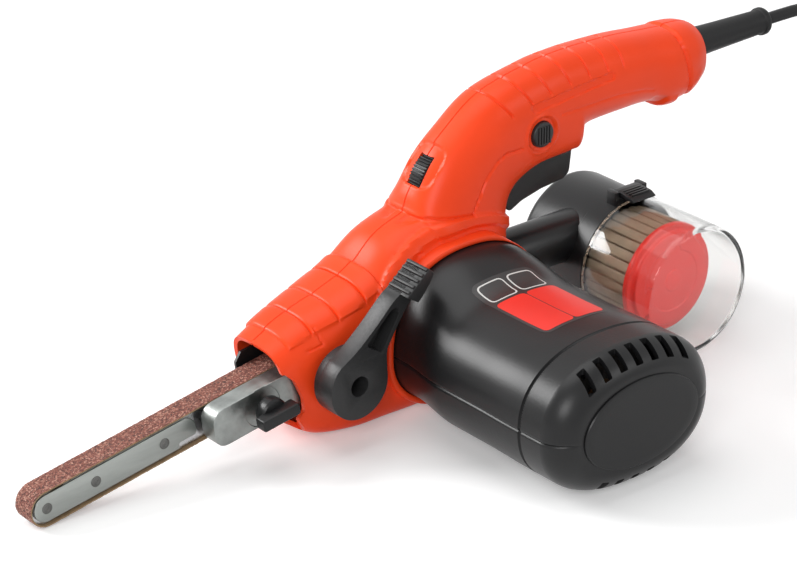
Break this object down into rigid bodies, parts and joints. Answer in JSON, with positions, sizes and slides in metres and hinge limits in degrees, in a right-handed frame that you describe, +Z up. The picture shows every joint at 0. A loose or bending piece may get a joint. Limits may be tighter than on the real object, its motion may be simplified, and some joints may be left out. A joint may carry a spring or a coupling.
{
  "type": "belt file sander",
  "caption": "Hand-held electric belt file with a slim sanding arm, a sideways motor, a curved handle with trigger and speed dial, and a clear dust cup",
  "frame": {"origin": "middle of the tool on the surface that it lies on, without the cord", "axes": "+X runs from the belt tip to the handle end, +Z up, -Y towards the motor end"},
  "size_m": [0.6323, 0.1876, 0.1553],
  "materials": {
    "orange_plastic": "moulded, satin",
    "black_plastic": "moulded, satin",
    "grey_plastic": "moulded, fine grain",
    "red_plastic": "moulded, semi-gloss",
    "clear_plastic": "clear moulded plastic",
    "steel": "turned",
    "zinc_plate": "zinc-plated sheet",
    "cast_alloy": "as cast",
    "abrasive": "abrasive grit on cloth",
    "filter_paper": "pleated paper",
    "rubber": "matt",
    "copper": "copper alloy",
    "iron": "laminated"
  },
  "bodies": {
    "tool": {"housing_left": "orange_plastic", "housing_right": "orange_plastic", "housing_screws": "steel", "nose_guard": "black_plastic", "sanding_belt": "abrasive", "spindle_bearings": "steel", "motor_case_upper": "black_plastic", "motor_case_lower": "black_plastic", "motor_badge": "black_plastic", "gear_plate": "cast_alloy", "motor_bearings": "steel", "pinion_bush": "copper", "field_core": "iron", "motor_end_bracket": "grey_plastic", "brush_holders": "copper", "carbon_brushes": "iron", "trigger_pin": "steel", "switch_block": "black_plastic", "speed_control": "grey_plastic", "strain_relief": "rubber", "power_cord": "rubber", "cord_coil": "rubber", "cord_tie": "grey_plastic", "plug_body": "black_plastic", "plug_pins": "steel"},
    "armature": {"armature_shaft": "steel", "armature_core": "iron", "commutator": "copper", "cooling_fan": "black_plastic", "motor_pinion": "steel"},
    "drive": {"drive_roller": "rubber", "drive_spindle": "steel", "drive_gear": "steel"},
    "arm": {"front_axle": "steel", "arm_plate_near": "zinc_plate", "arm_plate_far": "zinc_plate", "arm_core": "steel", "arm_rivets": "steel", "arm_holder": "cast_alloy"},
    "nose_roller": {"front_roller": "steel"},
    "lever": {"tension_lever": "grey_plastic"},
    "knob": {"tracking_knob": "black_plastic"},
    "trigger": {"trigger": "black_plastic"},
    "lock": {"lock_button": "grey_plastic"},
    "dial": {"speed_dial": "black_plastic"},
    "canister": {"dust_canister": "black_plastic", "dust_filter": "filter_paper", "filter_cap": "red_plastic", "latch_pin": "steel"},
    "cup": {"dust_cup": "clear_plastic"},
    "latch": {"cup_latch": "black_plastic"}
  },
  "joints": [
    {"name": "armature_spin", "type": "hinge", "parent": "tool", "child": "armature", "pos_m": [0.00821, 0.06175, 0.0365], "axis": [0, 1, 0], "continuous": true},
    {"name": "drive_spin", "type": "hinge", "parent": "tool", "child": "drive", "pos_m": [-0.03345, 0.06175, 0.0418], "axis": [0, 1, 0], "continuous": true},
    {"name": "lever_turn", "type": "hinge", "parent": "tool", "child": "lever", "pos_m": [-0.06994, 0.03175, 0.03569], "axis": [0, -1, 0], "range_deg": [0, 76]},
    {"name": "arm_slide", "type": "slide", "parent": "tool", "child": "arm", "axis": [0.9863, 0, 0.165], "range_m": [0, 0.008]},
    {"name": "front_roller_spin", "type": "hinge", "parent": "arm", "child": "nose_roller", "pos_m": [-0.22676, 0.06175, 0.00945], "axis": [0, 1, 0], "continuous": true},
    {"name": "knob_turn", "type": "hinge", "parent": "arm", "child": "knob", "pos_m": [-0.11038, 0.03675, 0.02893], "axis": [0, -1, 0], "range_deg": [-90, 90]},
    {"name": "trigger_pull", "type": "hinge", "parent": "tool", "child": "trigger", "pos_m": [0.06021, 0.06175, 0.112], "axis": [0, -1, 0], "range_deg": [0, 7], "stiffness_Nm_per_rad": 4, "springref_deg": -3.44},
    {"name": "lock_press", "type": "slide", "parent": "tool", "child": "lock", "axis": [0, 1, 0], "range_m": [0, 0.003], "stiffness_N_per_m": 900, "springref_m": -0.002},
    {"name": "dial_turn", "type": "hinge", "parent": "tool", "child": "dial", "pos_m": [0.01071, 0.06175, 0.108], "axis": [0, 1, 0], "range_deg": [-135, 135]},
    {"name": "canister_slide", "type": "slide", "parent": "tool", "child": "canister", "axis": [1, 0, 0], "range_m": [0, 0.025]},
    {"name": "cup_slide", "type": "slide", "parent": "canister", "child": "cup", "axis": [0, -1, 0], "range_m": [0, 0.06]},
    {"name": "latch_turn", "type": "hinge", "parent": "canister", "child": "latch", "pos_m": [0.12921, 0.04975, 0.0724], "axis": [-1, 0, 0], "range_deg": [0, 40]}
  ],
  "couplings": [
    {"joint": "drive_spin", "follows": "armature_spin", "ratio": -0.55556},
    {"joint": "front_roller_spin", "follows": "armature_spin", "ratio": -0.55556},
    {"joint": "lever_turn", "follows": "arm_slide", "rad_per_m": 165.81}
  ]
}
